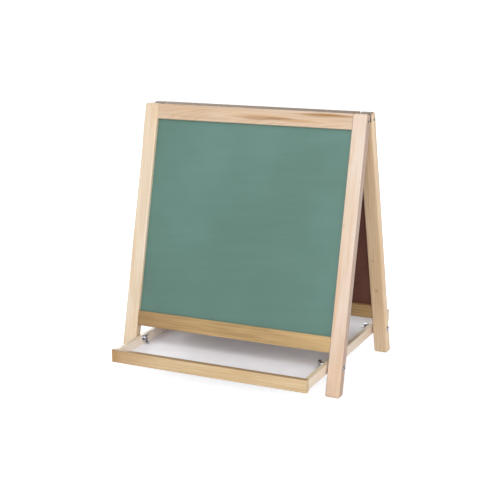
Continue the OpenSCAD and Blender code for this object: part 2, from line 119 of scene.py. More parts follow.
def step_up(tree, value, low, high, bottom=0.0, top=1.0):
    """Smooth rise from bottom to top as value goes from low to high."""
    made = add(tree, "MapRange", {"Value": value, "From Min": low, "From Max": high,
                                  "To Min": bottom, "To Max": top},
               interpolation_type="SMOOTHSTEP")
    return made.outputs["Result"]


def blend_colour(tree, amount, first, second):
    made = add(tree, "Mix", {0: amount, 6: first, 7: second}, data_type="RGBA")
    return made.outputs[2]


def tint(tree, mask, most, under, over):
    """Lays one colour over another where a mask says, up to the most given."""
    return blend_colour(tree, times(tree, mask, most), under, over)


def stretch(tree, vector, scale):
    made = add(tree, "VectorMath", {0: vector, 1: scale}, operation="MULTIPLY")
    return made.outputs["Vector"]


def cloud(tree, vector, scale, seed, detail=2.0, roughness=0.5):
    """Noise from 0 to 1. The scale, in waves to the metre, is one number or one for each axis."""
    scales = scale if isinstance(scale, tuple) else (scale, scale, scale)
    made = add(tree, "TexNoise", {"Vector": stretch(tree, vector, scales), "W": seed,
                                  "Scale": 1.0, "Detail": detail, "Roughness": roughness},
               noise_dimensions="4D")
    return made.outputs["Fac"]


def new_group(name, vectors, values, masks):
    """An empty shader group that takes vectors and values and puts out masks."""
    tree = bpy.data.node_groups.new(name, "ShaderNodeTree")
    for label in vectors:
        tree.interface.new_socket(name=label, in_out="INPUT", socket_type="NodeSocketVector")
    for label in values:
        tree.interface.new_socket(name=label, in_out="INPUT", socket_type="NodeSocketFloat")
    for label in masks:
        tree.interface.new_socket(name=label, in_out="OUTPUT", socket_type="NodeSocketFloat")
    return tree, tree.nodes.new("NodeGroupInput").outputs, tree.nodes.new("NodeGroupOutput").inputs


def place_group(tree, group, inputs):
    return add(tree, "Group", inputs, node_tree=group).outputs


def new_material(name):
    material = bpy.data.materials.new(name)
    material.use_nodes = True
    tree = material.node_tree
    return material, tree, tree.nodes["Principled BSDF"]


def finish_surface(tree, shader, colour, roughness, height, depth):
    """Joins the colour, the gloss and the fine relief, of the given depth, to the shader."""
    bump = add(tree, "Bump", {"Height": height, "Strength": 1.0, "Distance": depth})
    tree.links.new(colour, shader.inputs["Base Color"])
    tree.links.new(roughness, shader.inputs["Roughness"])
    tree.links.new(bump.outputs["Normal"], shader.inputs["Normal"])


def object_place(tree, turn=(0, 0, 0), centre=(0, 0, 0)):
    """Object coordinates turned by the given angles, with the centre moved to zero."""
    rotation = Euler(turn)
    shift = -(rotation.to_matrix() @ Vector(centre))
    source = tree.nodes.new("ShaderNodeTexCoord").outputs["Object"]
    made = add(tree, "Mapping", {"Vector": source, "Location": shift, "Rotation": rotation})
    return made.outputs["Vector"]


def dress(node, material):
    """Gives a carried-over solid its finish."""
    slots = NODES[node].data.materials
    slots.clear()
    slots.append(material)


# Depth of the fine relief on each kind of surface

GRAIN_DEPTH = 0.12 * MM
STIPPLE_DEPTH = 0.03 * MM
PEEL_DEPTH = 0.02 * MM
MESH_DEPTH = 0.12 * MM
SKIN_DEPTH = 0.03 * MM
GRIT_DEPTH = 0.03 * MM
PLATE_DEPTH = 0.02 * MM


# Shared effects

# Scales of the figure of a board across, deep and along it, in waves to the metre
DRIFT_SCALE = (9, 9, 2.2)
RIPPLE_SCALE = (70, 70, 9)
PATCH_SCALE = (24, 24, 5)
STREAK_SCALE = (105, 105, 6.5)
LINE_SCALE = (330, 330, 8)
FIBRE_SCALE = (850, 850, 16)

# Slant of the strokes that wipe a board
WIPING_SLANT = math.radians(7)


def make_board_grain():
    """Growth rings, fibres and patches of a sawn board. Place runs along the board on Z."""
    tree, given, out = new_group(
        "Board grain", ("Place",),
        ("Seed", "Ring", "Pith across", "Pith deep", "Slope", "Wander"),
        ("Rings", "Fibres", "Lines", "Patches", "Streaks", "Height"))
    place = given["Place"]
    seed = given["Seed"]
    parts = add(tree, "SeparateXYZ", {"Vector": place}).outputs

    # Distance from the pith, bent by slow drift and fine ripple
    drift = minus(tree, cloud(tree, place, DRIFT_SCALE, seed), 0.5)
    ripple = minus(tree, cloud(tree, place, RIPPLE_SCALE, seed, 3.0), 0.5)
    across = minus(tree, parts["X"], given["Pith across"])
    deep = plus(tree, minus(tree, parts["Y"], given["Pith deep"]),
                times(tree, parts["Z"], given["Slope"]))
    radius = math_node(tree, "SQRT", plus(tree, math_node(tree, "POWER", across, 2.0),
                                          math_node(tree, "POWER", deep, 2.0)))
    bent = plus(tree, radius, times(tree, drift, given["Wander"]))
    bent = plus(tree, bent, times(tree, ripple, times(tree, given["Ring"], 0.8)))

    # Years of uneven width, each pale in spring, darker towards its end, and of its own strength
    even = math_node(tree, "DIVIDE", bent, given["Ring"])
    uneven = add(tree, "TexNoise", {"W": even, "Scale": 0.45, "Detail": 1.0},
                 noise_dimensions="1D").outputs["Fac"]
    count = plus(tree, even, times(tree, uneven, 2.6))
    share = math_node(tree, "FRACT", count)
    rise = step_up(tree, share, 0.2, 0.86)
    fall = step_up(tree, share, 0.9, 1.0, 1.0, 0.0)
    year = add(tree, "TexWhiteNoise", {"W": math_node(tree, "FLOOR", count)},
               noise_dimensions="1D").outputs["Value"]
    strength = step_up(tree, year, 0.0, 1.0, 0.35, 1.0)
    rings = times(tree, times(tree, rise, fall), strength)

    fibres = cloud(tree, place, FIBRE_SCALE, seed, 4.0, 0.65)
    patches = cloud(tree, place, PATCH_SCALE, seed, 3.0, 0.55)
    streaks = cloud(tree, place, STREAK_SCALE, seed, 3.0, 0.55)
    lines = cloud(tree, place, LINE_SCALE, seed, 3.0, 0.6)
    tree.links.new(rings, out["Rings"])
    tree.links.new(step_up(tree, streaks, 0.54, 0.72), out["Streaks"])
    tree.links.new(step_up(tree, lines, 0.44, 0.62), out["Lines"])
    tree.links.new(step_up(tree, fibres, 0.3, 0.7), out["Fibres"])
    tree.links.new(step_up(tree, patches, 0.32, 0.68), out["Patches"])
    tree.links.new(plus(tree, times(tree, fibres, 0.7), times(tree, rings, 0.3)), out["Height"])
    return tree


def make_knot():
    """A small knot: a dark heart with a soft halo, about a point on the surface."""
    tree, given, out = new_group("Small knot", ("Place", "Centre"), ("Size",), ("Heart", "Halo"))
    offset = add(tree, "VectorMath", {0: given["Place"], 1: given["Centre"]},
                 operation="SUBTRACT").outputs["Vector"]
    squeezed = stretch(tree, offset, (1.0, 1.0, 0.62))
    wobble = times(tree, cloud(tree, given["Place"], (260, 260, 160), 3.0), 0.5)
    distance = add(tree, "VectorMath", {0: squeezed}, operation="LENGTH").outputs["Value"]
    reach = plus(tree, math_node(tree, "DIVIDE", distance, given["Size"]), wobble)
    tree.links.new(step_up(tree, reach, 0.55, 1.0, 1.0, 0.0), out["Heart"])
    tree.links.new(step_up(tree, reach, 0.7, 2.4, 1.0, 0.0), out["Halo"])
    return tree


def make_lens_stain():
    """A long brown stain in the figure of a board, pointed and ragged at its ends."""
    tree, given, out = new_group("Lens stain", ("Place", "Centre"),
                                 ("Half width", "Half length"), ("Amount",))
    offset = add(tree, "VectorMath", {0: given["Place"], 1: given["Centre"]},
                 operation="SUBTRACT").outputs["Vector"]
    parts = add(tree, "SeparateXYZ", {"Vector": offset}).outputs
    sides = []
    for axis, half in (("X", "Half width"), ("Z", "Half length")):
        share = math_node(tree, "ABSOLUTE", math_node(tree, "DIVIDE", parts[axis], given[half]))
        sides.append(math_node(tree, "POWER", share, 1.6))
    ragged = minus(tree, cloud(tree, offset, (190, 190, 11), 5.0, 3.0), 0.5)
    reach = plus(tree, plus(tree, *sides), times(tree, ragged, 2.4))
    veins = cloud(tree, offset, (480, 480, 9), 6.0, 3.0)
    tree.links.new(times(tree, step_up(tree, reach, 0.15, 1.15, 1.0, 0.0),
                         step_up(tree, veins, 0.38, 0.58, 0.55, 1.0)), out["Amount"])
    return tree


def make_enamel():
    """Fired enamel on sheet steel: broad clouds, a fine stipple and faint wiping marks."""
    tree, given, out = new_group("Enamel", ("Place",), ("Seed",), ("Clouds", "Stipple", "Wiping"))
    clouds = cloud(tree, given["Place"], 5, given["Seed"], 3.0)
    stipple = cloud(tree, given["Place"], 1800, given["Seed"], 1.0)
    turned = add(tree, "Mapping", {"Vector": given["Place"],
                                   "Rotation": (0, WIPING_SLANT, 0)}).outputs["Vector"]
    wiping = cloud(tree, turned, (7, 7, 75), given["Seed"], 4.0, 0.6)
    tree.links.new(step_up(tree, clouds, 0.3, 0.7), out["Clouds"])
    tree.links.new(stipple, out["Stipple"])
    tree.links.new(step_up(tree, wiping, 0.42, 0.75), out["Wiping"])
    return tree


def make_plating():
    """Bright zinc plate: a fine grain, and soft patches that are partly stain and partly painted
    dark reflection.
    """
    tree, given, out = new_group("Zinc plate", ("Place",), ("Seed",), ("Stains and painted reflection", "Grain"))
    tone_and_painted_light = cloud(tree, given["Place"], 260, given["Seed"])
    grain = cloud(tree, given["Place"], 2600, given["Seed"])
    tree.links.new(step_up(tree, tone_and_painted_light, 0.36, 0.66), out["Stains and painted reflection"])
    tree.links.new(grain, out["Grain"])
    return tree


BOARD_GRAIN = make_board_grain()
SMALL_KNOT = make_knot()
LENS_STAIN = make_lens_stain()
ENAMEL = make_enamel()
ZINC_PLATE = make_plating()


# Woods, one for each board, because no two boards have the same grain

# Turns that lay the grain along a board
UPRIGHT_FRONT = (LEAN, 0, 0)
UPRIGHT_REAR = (-LEAN, 0, 0)
RAIL_FRONT = (LEAN, math.radians(90), 0)
RAIL_REAR = (-LEAN, math.radians(90), 0)
FLAT_ACROSS = (0, math.radians(90), 0)
FLAT_ALONG = (math.radians(90), 0, 0)

PALE = {"light": tone(228, 213, 194), "dark": tone(204, 174, 138), "patch": tone(226, 202, 168)}
ROSY = {"light": tone(226, 214, 204), "dark": tone(198, 168, 142), "patch": tone(220, 199, 178)}
TAN = {"light": tone(240, 216, 184), "dark": tone(198, 164, 124), "patch": tone(230, 199, 160)}
PEACH = {"light": tone(217, 197, 177), "dark": tone(176, 142, 108), "patch": tone(212, 183, 153)}
OLIVE = {"light": tone(202, 168, 116), "dark": tone(142, 110, 66), "patch": tone(176, 146, 98)}
GOLDEN = {"light": tone(216, 192, 154), "dark": tone(178, 142, 94), "patch": tone(204, 171, 124)}
CREAM = {"light": tone(252, 242, 230), "dark": tone(230, 208, 184), "patch": tone(248, 234, 218)}
BEIGE = {"light": tone(244, 232, 218), "dark": tone(212, 188, 160), "patch": tone(238, 220, 202)}
KNOT_HALO = tone(186, 146, 104)
KNOT_HEART = tone(122, 84, 54)

# Where a board is darker, both painted shade on faces that face up and other bands of tone: along
# which of its axes, from and to in millimetres from its middle, the tone there and how much of it
ACROSS, DEEP, ALONG = 0, 1, 2
# Painted shade on the top face of the rear top rail
PAINTED_SHADE_TOP_RAIL = (ACROSS, 14.0, 14.9, tone(112, 90, 68), 0.95)
# Painted shade on the top ends of the rear stiles
PAINTED_SHADE_STILE_TOP = (ALONG, 261.4, 263.0, tone(116, 102, 94), 0.9)
# Painted shade on the top faces of the tray's end rails
PAINTED_SHADE_LIP_TOP = (ACROSS, 11.2, 12.4, tone(146, 116, 82), 0.85)
# Painted shade on the top faces of the tray's side rails
PAINTED_SHADE_SIDE_TOP = (DEEP, -8.8, -9.9, tone(204, 186, 158), 0.75)

# Figure that rails cut from wider boards share
SOFT_RAIL = {"slope": 0.04, "wander": 16, "contrast": 0.3, "line": 0.35, "streak": 0.25}
OLIVE_RAIL = {"slope": 0.03, "wander": 18, "contrast": 0.35, "line": 0.45, "streak": 0.45}

LACQUER_ROUGHNESS = (0.4, 0.52)
LACQUER_COAT = 0.12
LACQUER_COAT_ROUGHNESS = 0.3


def wood(node, colours, turn=(0, 0, 0), seed=0.0, ring=4.0, pith=(10.0, 30.0), slope=0.02,
         wander=6.0, contrast=0.6, fibre=0.25, line=0.3, streak=0.0, knots=(), tone_and_painted_light=(),
         lenses=()):
    """Satin lacquer on a sawn board. Lengths are in millimetres, but knots lie in metres."""
    material, tree, shader = new_material(node + "_wood")
    low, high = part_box(node)
    centre = (low + high) / 2
    place = object_place(tree, turn, centre)
    grain = place_group(tree, BOARD_GRAIN, {
        "Place": place, "Seed": seed, "Ring": ring * MM, "Pith across": pith[0] * MM,
        "Pith deep": pith[1] * MM, "Slope": slope, "Wander": wander * MM})
    colour = blend_colour(tree, grain["Patches"], colours["light"], colours["patch"])
    for mask, most in (("Rings", contrast), ("Fibres", fibre), ("Lines", line),
                       ("Streaks", streak)):
        colour = tint(tree, grain[mask], most, colour, colours["dark"])
    for across, along, half_width, half_length, stain, most in lenses:
        lens = place_group(tree, LENS_STAIN, {
            "Place": place, "Centre": (across * MM, 0, along * MM),
            "Half width": half_width * MM, "Half length": half_length * MM})
        colour = tint(tree, lens["Amount"], most, colour, stain)
    parts = add(tree, "SeparateXYZ", {"Vector": place}).outputs
    # Bands along one axis of the board: painted shade on faces that face up, and other bands of
    # darker or paler tone
    for axis, start, end, stain, most in tone_and_painted_light:
        reach = add(tree, "MapRange", {"Value": parts[axis], "From Min": start * MM,
                                       "From Max": end * MM, "To Min": 0.0, "To Max": most})
        colour = blend_colour(tree, reach.outputs["Result"], colour, stain)
    rotation = Euler(turn).to_matrix()
    for spot, size, most in knots:
        knot = place_group(tree, SMALL_KNOT, {"Place": place, "Size": size * MM,
                                              "Centre": rotation @ (Vector(spot) - centre)})
        colour = tint(tree, knot["Halo"], most * 0.5, colour, KNOT_HALO)
        colour = tint(tree, knot["Heart"], most, colour, KNOT_HEART)
    roughness = step_up(tree, grain["Fibres"], 0.0, 1.0, *LACQUER_ROUGHNESS)
    finish_surface(tree, shader, colour, roughness, grain["Height"], GRAIN_DEPTH)
    shader.inputs["Coat Weight"].default_value = LACQUER_COAT
    shader.inputs["Coat Roughness"].default_value = LACQUER_COAT_ROUGHNESS
    dress(node, material)


def dress_woods():
    for node in ("front_rail_dowels", "rear_rail_dowels"):
        wood(node, GOLDEN, seed=61.0, ring=2.5)
    wood("front_left_stile", PALE, UPRIGHT_FRONT, seed=1.3, ring=5.0, pith=(4, 60),
         contrast=0.35)
    wood("front_right_stile", ROSY, UPRIGHT_FRONT, seed=7.1, ring=5.5, pith=(-12, 55),
         contrast=0.4,
         knots=[((0.20989, -0.07229, 0.31138), 1.6, 0.5)],
         # Darker from a little above the middle down to the foot, and darker on the right side
         # face
         tone_and_painted_light=[(ALONG, 60.0, -260.0, tone(213, 178, 147), 0.62),
                 (ACROSS, 12.6, 14.2, tone(160, 128, 108), 0.75)],
         lenses=[(-9.5, -60.0, 3.4, 120.0, tone(212, 170, 126), 0.8),
                 (-12.0, 178.0, 3.0, 14.0, tone(214, 172, 130), 0.8),
                 (4.0, 60.0, 2.2, 150.0, tone(214, 180, 150), 0.8)])
    wood("rear_left_stile", PALE, UPRIGHT_REAR, seed=11.9, ring=4.5, pith=(8, 48),
         contrast=0.4, tone_and_painted_light=[PAINTED_SHADE_STILE_TOP])
    wood("rear_right_stile", TAN, UPRIGHT_REAR, seed=23.4, ring=4.5, pith=(-30, 20),
         contrast=0.5, tone_and_painted_light=[PAINTED_SHADE_STILE_TOP],
         knots=[((0.21686, 0.07875, 0.20838), 2.4, 0.35),
                ((0.21972, 0.09552, 0.14210), 2.8, 0.45)])
    wood("front_top_rail", PEACH, RAIL_FRONT, seed=4.2, ring=3.4, pith=(-18, 24), slope=-0.09,
         wander=10, contrast=0.3, line=0.35, streak=0.25,
         lenses=[(-1.6, -20.0, 6.0, 78.0, tone(150, 108, 66), 0.95),
                 (-5.0, -100.0, 4.0, 46.0, tone(190, 150, 108), 0.8),
                 (3.5, 10.0, 9.0, 100.0, tone(206, 172, 136), 0.6),
                 (9.0, -146.0, 4.6, 72.0, tone(152, 110, 58), 0.95)])
    wood("rear_top_rail", PEACH, RAIL_REAR, seed=15.8, ring=5.5, pith=(-36, 30), slope=0.03,
         wander=12, contrast=0.4, streak=0.5, tone_and_painted_light=[PAINTED_SHADE_TOP_RAIL])
    wood("front_bottom_rail", OLIVE, RAIL_FRONT, seed=31.0, ring=5.0, pith=(34, 16),
         # Darker towards the left end and paler towards the right end
         tone_and_painted_light=[(ALONG, 40.0, 205.0, tone(132, 100, 60), 0.65),
                 (ALONG, -60.0, -205.0, tone(212, 180, 130), 0.5)],
         lenses=[(-5.0, -6.0, 4.0, 70.0, tone(150, 118, 76), 0.6)], **OLIVE_RAIL)
    wood("rear_bottom_rail", OLIVE, RAIL_REAR, seed=37.7, ring=5.0, pith=(32, 20),
         **OLIVE_RAIL)
    wood("tray_front_rail", GOLDEN, FLAT_ACROSS, seed=41.5, ring=5.0, pith=(30, 10),
         # Darker towards the left end
         tone_and_painted_light=[(ALONG, 90.0, 190.0, tone(158, 116, 70), 0.55),
                 (ALONG, 180.0, 200.0, tone(160, 112, 58), 0.55), PAINTED_SHADE_LIP_TOP], **SOFT_RAIL)
    wood("tray_rear_rail", GOLDEN, FLAT_ACROSS, seed=47.2, ring=5.0, pith=(-30, 12),
         tone_and_painted_light=[PAINTED_SHADE_LIP_TOP], **SOFT_RAIL)
    wood("tray_left_rail", CREAM, FLAT_ALONG, seed=53.6, pith=(18, 20), contrast=0.3,
         tone_and_painted_light=[PAINTED_SHADE_SIDE_TOP])
    wood("tray_right_rail", BEIGE, FLAT_ALONG, seed=59.1, pith=(-18, 22), contrast=0.4,
         tone_and_painted_light=[PAINTED_SHADE_SIDE_TOP])


# Boards

def chalk_enamel():
    """Matt green enamel with the thin haze that a wiped chalkboard keeps."""
    material, tree, shader = new_material("chalk_enamel")
    place = object_place(tree, UPRIGHT_FRONT)
    enamel = place_group(tree, ENAMEL, {"Place": place, "Seed": 2.0})
    green = blend_colour(tree, enamel["Clouds"], tone(82, 115, 105), tone(90, 126, 116))
    wiped = tint(tree, enamel["Wiping"], 0.06, green, tone(150, 176, 166))
    speckled = tint(tree, enamel["Stipple"], 0.12, wiped, tone(80, 112, 102))
    roughness = step_up(tree, enamel["Wiping"], 0.0, 1.0, 0.46, 0.6)
    finish_surface(tree, shader, speckled, roughness, enamel["Stipple"], STIPPLE_DEPTH)
    dress("front_chalk_face", material)


def marker_enamel():
    """Gloss white enamel with a slight orange peel and the ghost of old wiping."""
    material, tree, shader = new_material("marker_enamel")
    place = object_place(tree, UPRIGHT_REAR)
    enamel = place_group(tree, ENAMEL, {"Place": place, "Seed": 6.0})
    peel = cloud(tree, place, 420, 5.0, 1.0)
    white = blend_colour(tree, enamel["Clouds"], tone(240, 242, 244), tone(236, 239, 242))
    wiped = tint(tree, enamel["Wiping"], 0.07, white, tone(205, 211, 219))
    roughness = step_up(tree, enamel["Wiping"], 0.0, 1.0, 0.14, 0.24)
    finish_surface(tree, shader, wiped, roughness, peel, PEEL_DEPTH)
    dress("rear_marker_face", material)


def pressed_board():
    """Dark hardboard, with the mesh that the press leaves on its back."""
    material, tree, shader = new_material("pressed_board")
    place = object_place(tree)
    chips = cloud(tree, place, 320, 8.0, 5.0, 0.7)
    blotches = cloud(tree, place, 22, 9.0, 3.0)
    mesh = add(tree, "TexVoronoi", {"Vector": stretch(tree, place, (900, 0.001, 900)),
                                    "Scale": 1.0, "Randomness": 0.15}).outputs["Distance"]
    brown = blend_colour(tree, step_up(tree, chips, 0.3, 0.7), tone(88, 51, 41), tone(118, 72, 56))
    mottled = tint(tree, step_up(tree, blotches, 0.35, 0.7), 0.35, brown, tone(74, 44, 38))
    roughness = step_up(tree, chips, 0.2, 0.8, 0.62, 0.82)
    height = plus(tree, mesh, times(tree, chips, 0.5))
    finish_surface(tree, shader, mottled, roughness, height, MESH_DEPTH)
    for node in ("front_backer", "rear_backer"):
        dress(node, material)


def coated_floor():
    """White coated board at the bottom of the tray, with a few scuffs and a little dust."""
    material, tree, shader = new_material("coated_floor")
    place = object_place(tree)
    dust = cloud(tree, place, 26, 12.0, 4.0, 0.6)
    scuffs = cloud(tree, place, (14, 260, 14), 13.0, 3.0, 0.6)
    skin = cloud(tree, place, 700, 14.0)
    white = blend_colour(tree, step_up(tree, dust, 0.35, 0.7), tone(248, 247, 252),
                         tone(242, 241, 247))
    worn = tint(tree, step_up(tree, scuffs, 0.6, 0.8), 0.25, white, tone(200, 198, 206))
    roughness = step_up(tree, dust, 0.3, 0.7, 0.4, 0.54)
    finish_surface(tree, shader, worn, roughness, skin, SKIN_DEPTH)
    shader.inputs["Specular IOR Level"].default_value = 0.06
    dress("tray_floor", material)


def brad_filler():
    """Wood filler over the sunk brad heads of the tray."""
    material, tree, shader = new_material("brad_filler")
    grit = cloud(tree, object_place(tree), 1500, 17.0, 3.0)
    colour = blend_colour(tree, grit, tone(204, 172, 124), tone(190, 156, 108))
    roughness = step_up(tree, grit, 0.0, 1.0, 0.55, 0.7)
    finish_surface(tree, shader, colour, roughness, grit, GRIT_DEPTH)
    dress("tray_corner_brads", material)


# Metals

CORNERS = ("front_left", "front_right", "rear_left", "rear_right")


def zinc(name, seed, clean, stain_and_painted_reflection, painted_hollow_shade, edge, roughness):
    """Zinc plate, with painted shade darkening its hollows, and worn brighter along its edges."""
    material, tree, shader = new_material(name)
    plate = place_group(tree, ZINC_PLATE, {"Place": object_place(tree), "Seed": seed})
    relief = add(tree, "NewGeometry").outputs["Pointiness"]
    # Patches, partly stain and partly painted dark reflection
    colour = blend_colour(tree, plate["Stains and painted reflection"], clean, stain_and_painted_reflection)
    # Painted shade: darker in the hollows that pointiness finds
    colour = blend_colour(tree, step_up(tree, relief, 0.4, 0.5, 0.7, 0.0), colour, painted_hollow_shade)
    colour = blend_colour(tree, step_up(tree, relief, 0.5, 0.6, 0.0, 0.6), colour, edge)
    finish_surface(tree, shader, colour, step_up(tree, plate["Stains and painted reflection"], 0.0, 1.0, *roughness),
                   plate["Grain"], PLATE_DEPTH)
    shader.inputs["Metallic"].default_value = 1.0
    return material


def dress_metals():
    bright = zinc("bright_zinc", 1.0, clean=tone(194, 196, 200), stain_and_painted_reflection=tone(86, 88, 94),
                  painted_hollow_shade=tone(36, 34, 36), edge=tone(220, 222, 226), roughness=(0.12, 0.26))
    dull = zinc("dull_zinc", 4.0, clean=tone(84, 74, 66), stain_and_painted_reflection=tone(50, 43, 38),
                painted_hollow_shade=tone(34, 29, 26), edge=tone(118, 108, 98), roughness=(0.36, 0.5))
    for corner in CORNERS:
        dress(corner + "_hex_nut", bright)
        dress(corner + "_washer", bright)
        carriage_bolt(corner, bright)
        forged_nut(corner, bright)
    for side in ("left", "right"):
        for piece in ("_hinge_front_plate", "_hinge_rear_plate", "_hinge_pin"):
            dress(side + piece, dull)
    for node in ("front_rail_screws", "rear_rail_screws", "front_hinge_screws",
                 "rear_hinge_screws", "tray_floor_brads"):
        dress(node, dull)


# Fastenings of the tray, made with their threads and forged wings

# Carriage bolt
PITCH = 25.4 / 24 * MM
THREAD_R = 2.38 * MM
ROOT_R = 1.88 * MM
THREAD_LENGTH = 30 * PITCH
THREAD_STEPS = 32
TIP_TAPER = 0.6 * MM
HEAD_R = 6.0 * MM
HEAD_HEIGHT = 2.6 * MM
DOME_EASE = 0.3 * MM
DOME_STEPS = 14
HEAD_STEPS = 64
NECK_SIDE = 5.05 * MM
NECK_LENGTH = 2.8 * MM
NECK_ROUND = 0.35 * MM
NECK_SUNK = 0.4 * MM
SHANK_SUNK = 0.3 * MM
RUN_OUT = 0.5 * MM
RUN_OUT_STEP = 0.4 * MM
SMOOTH_BELOW = math.radians(32)

# Profile of one turn of the thread: radius, and height as a share of the pitch
THREAD_FORM = ((ROOT_R, 0.0), (ROOT_R, 0.2), (THREAD_R, 0.52), (THREAD_R, 0.68))

# Rounded rim of the bolt head, in millimetres from its edge and from its seat
RIM = ((-0.08, 0.2), (-0.02, 0.1), (-0.1, 0.0))

# Wing nut. Outlines are in millimetres from the bolt's axis and from the nut's seat
HUB = ((2.95, 0.0), (4.45, 0.0), (4.72, 0.12), (4.8, 0.4), (4.8, 1.8), (4.05, 5.3),
       (3.85, 5.75), (3.5, 6.0), (3.05, 6.0), (2.55, 5.5), (2.55, 0.4), (2.95, 0.0))
HUB_STEPS = 96
WING_TIP = (8.7, 9.1)
WING_TIP_R = 2.8 * MM
WING_TIP_HALF = 0.8 * MM
WING_TIP_STEPS = 48
WING_ROUND = 0.45 * MM
FORGING_GRAIN = 0.16 * MM
FORGING_ROUNDS = 3

# Root of a wing: across, up and half as thick, in millimetres
WING_ROOT = ((3.2, 0.9, 1.35), (4.4, 0.9, 1.35), (3.3, 5.5, 1.2))

# Angle in degrees at which each nut has stopped
NUT_TURN = {"front_left": 3, "front_right": 120, "rear_left": 115, "rear_right": 98}

# Points closer than this in metres become one
WELD = 1e-6
FINE_WELD = 1e-7

# Faces that meet at less than this are one flat, and those that meet at more have an edge
FLAT_BELOW = math.radians(3)
SHARP_ABOVE = math.radians(40)

# How an edge is rounded
EASED = {"segments": 3, "profile": 0.5, "affect": "EDGES", "material": -1}


def side_of(corner):
    return 1 if corner.endswith("right") else -1


def end_of(corner):
    return 1 if corner.startswith("rear") else -1


def along_bolt(corner):
    """Carries Z onto the bolt, outwards from the tray, with X and Y at its middle."""
    low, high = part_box(corner + "_bolt")
    middle = (low + high) / 2
    return (Matrix.Translation((0, middle.y, middle.z))
            @ Matrix.Rotation(side_of(corner) * math.radians(90), 4, "Y"))


def span_across(node):
    """Distances of the near and the far end of a solid from the easel's middle plane."""
    low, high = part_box(node)
    return sorted((abs(low.x), abs(high.x)))


def spin_round(bm, points, steps, **settings):
    """Turns a row of points right round Z."""
    edges = [bm.edges.new(pair) for pair in zip(points, points[1:])]
    bmesh.ops.spin(bm, geom=points + edges, cent=(0, 0, 0), axis=(0, 0, 1),
                   angle=2 * math.pi, steps=steps, **settings)


def spun(bm, outline, steps):
    """A closed round body from its outline of radius and height."""
    points = [bm.verts.new((radius, 0, height)) for radius, height in outline]
    spin_round(bm, points, steps, use_merge=True)


def join(bm, other):
    """Adds a finished mesh to another and frees it."""
    loose = bpy.data.meshes.new("loose")
    other.to_mesh(loose)
    other.free()
    bm.from_mesh(loose)
    bpy.data.meshes.remove(loose)


def smooth_faces(bm):
    for face in bm.faces:
        face.smooth = True


def make_piece(name, bm, material, body, replaced):
    """Makes the finished piece, and gives it its body and the solid it stands for."""
    mesh = bpy.data.meshes.new(name)
    bm.to_mesh(mesh)
    bm.free()
    mesh.materials.append(material)
    piece = place_in_scene(name, mesh)
    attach(piece, body)
    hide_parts(replaced)
    return piece


def cut_square(thread, height, towards):
    """Cuts a thread off at a height, closes the cut, and keeps the side away from towards."""
    everything = thread.verts[:] + thread.edges[:] + thread.faces[:]
    cut = bmesh.ops.bisect_plane(thread, geom=everything, plane_co=(0, 0, height),
                                 plane_no=(0, 0, towards), clear_outer=True)
    rim = [e for e in cut["geom_cut"] if isinstance(e, bmesh.types.BMEdge) and e.is_valid]
    bmesh.ops.remove_doubles(thread, verts=list({v for e in rim for v in e.verts}), dist=WELD)
    level = [e for e in thread.edges if e.is_boundary
             and all(abs(v.co.z - height) < WELD for v in e.verts)]
    bmesh.ops.holes_fill(thread, edges=level)


def add_thread(bm, start, end):
    """Screw thread along Z, its ends cut square, closed and eased to a point at the start."""
    thread = bmesh.new()
    turns = math.ceil((end - start) / PITCH) + 2
    points = []
    for turn in range(turns + 1):
        foot = start + (turn - 1.5) * PITCH
        for radius, share in THREAD_FORM:
            points.append(thread.verts.new((radius, 0, foot + share * PITCH)))
    spin_round(thread, points, THREAD_STEPS, dvec=(0, 0, PITCH / THREAD_STEPS))
    bmesh.ops.remove_doubles(thread, verts=thread.verts, dist=WELD)
    cut_square(thread, start, -1)
    cut_square(thread, end, 1)
    for vert in thread.verts:
        reach = vert.co.xy.length
        room = THREAD_R - TIP_TAPER + max(vert.co.z - start, 0)
        if reach > room:
            vert.co.xy *= room / reach
    bmesh.ops.recalc_face_normals(thread, faces=thread.faces)
    join(bm, thread)


def add_dome(bm, seat):
    """Domed head that seats at the given height."""
    dome_r = (HEAD_R ** 2 + HEAD_HEIGHT ** 2) / (2 * HEAD_HEIGHT)
    centre = seat + HEAD_HEIGHT - dome_r
    widest = math.asin((HEAD_R - DOME_EASE) / dome_r)
    angles = [widest * i / DOME_STEPS for i in range(DOME_STEPS + 1)]
    dome = [(dome_r * math.sin(a), centre + dome_r * math.cos(a)) for a in angles]
    rim = [(HEAD_R + inwards * MM, seat + up * MM) for inwards, up in RIM]
    spun(bm, dome + rim + [(0, seat)], HEAD_STEPS)


def add_neck(bm, seat, turn):
    """Square neck below the head, turned to the lean of its leaf."""
    neck = bmesh.new()
    bmesh.ops.create_cube(neck, size=1)
    bmesh.ops.scale(neck, verts=neck.verts, vec=(NECK_SIDE, NECK_SIDE, NECK_LENGTH + NECK_SUNK))
    bmesh.ops.bevel(neck, geom=neck.edges[:], offset=NECK_ROUND, **EASED)
    bmesh.ops.rotate(neck, verts=neck.verts, matrix=Matrix.Rotation(turn, 3, "Z"))
    bmesh.ops.translate(neck, verts=neck.verts,
                        vec=(0, 0, seat - NECK_LENGTH / 2 + NECK_SUNK / 2))
    join(bm, neck)


